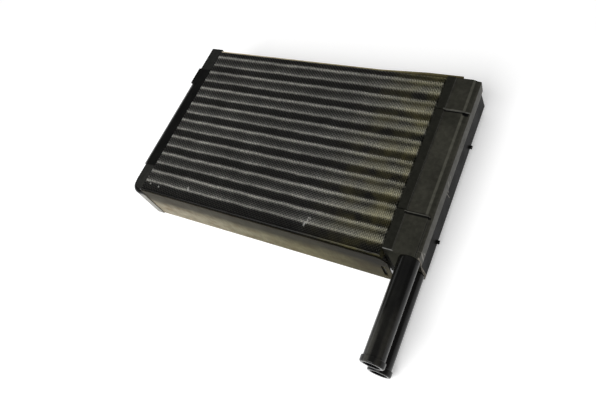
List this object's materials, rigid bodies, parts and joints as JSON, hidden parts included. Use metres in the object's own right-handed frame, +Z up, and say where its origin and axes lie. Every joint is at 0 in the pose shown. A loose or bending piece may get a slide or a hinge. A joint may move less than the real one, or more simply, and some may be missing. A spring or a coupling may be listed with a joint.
{
  "type": "heater core",
  "caption": "Flat box-shaped heater core with a finned aluminium matrix between two black plastic end tanks and two straight parallel hose pipes leaving one tank side by side.",
  "frame": {"origin": "on the ground under the middle of the finned core, where the core's lower face rests", "axes": "+X from the return tank to the pipe tank, -Y the way both pipes point, +Z up through the core's faces"},
  "size_m": [0.2676, 0.2323, 0.042],
  "materials": {
    "fin_aluminium": "thin folded sheet, dulled by use",
    "sheet_aluminium": "stained sheet",
    "tube_aluminium": "drawn",
    "gasket_rubber": "matt",
    "tank_plastic": "satin moulded"
  },
  "bodies": {
    "root": {"fin_pack": "fin_aluminium", "front_side_plate": "sheet_aluminium", "back_side_plate": "sheet_aluminium", "left_header_plate": "sheet_aluminium", "right_header_plate": "sheet_aluminium", "left_gasket": "gasket_rubber", "right_gasket": "gasket_rubber", "return_tank": "tank_plastic", "pipe_tank": "tank_plastic", "upper_pipe": "tank_plastic", "lower_pipe": "tank_plastic", "upper_tube_1": "tube_aluminium", "upper_tube_2": "tube_aluminium", "upper_tube_3": "tube_aluminium", "upper_tube_4": "tube_aluminium", "upper_tube_5": "tube_aluminium", "upper_tube_6": "tube_aluminium", "upper_tube_7": "tube_aluminium", "upper_tube_8": "tube_aluminium", "lower_tube_1": "tube_aluminium", "lower_tube_2": "tube_aluminium", "lower_tube_3": "tube_aluminium", "lower_tube_4": "tube_aluminium", "lower_tube_5": "tube_aluminium", "lower_tube_6": "tube_aluminium", "lower_tube_7": "tube_aluminium", "lower_tube_8": "tube_aluminium"}
  },
  "joints": []
}
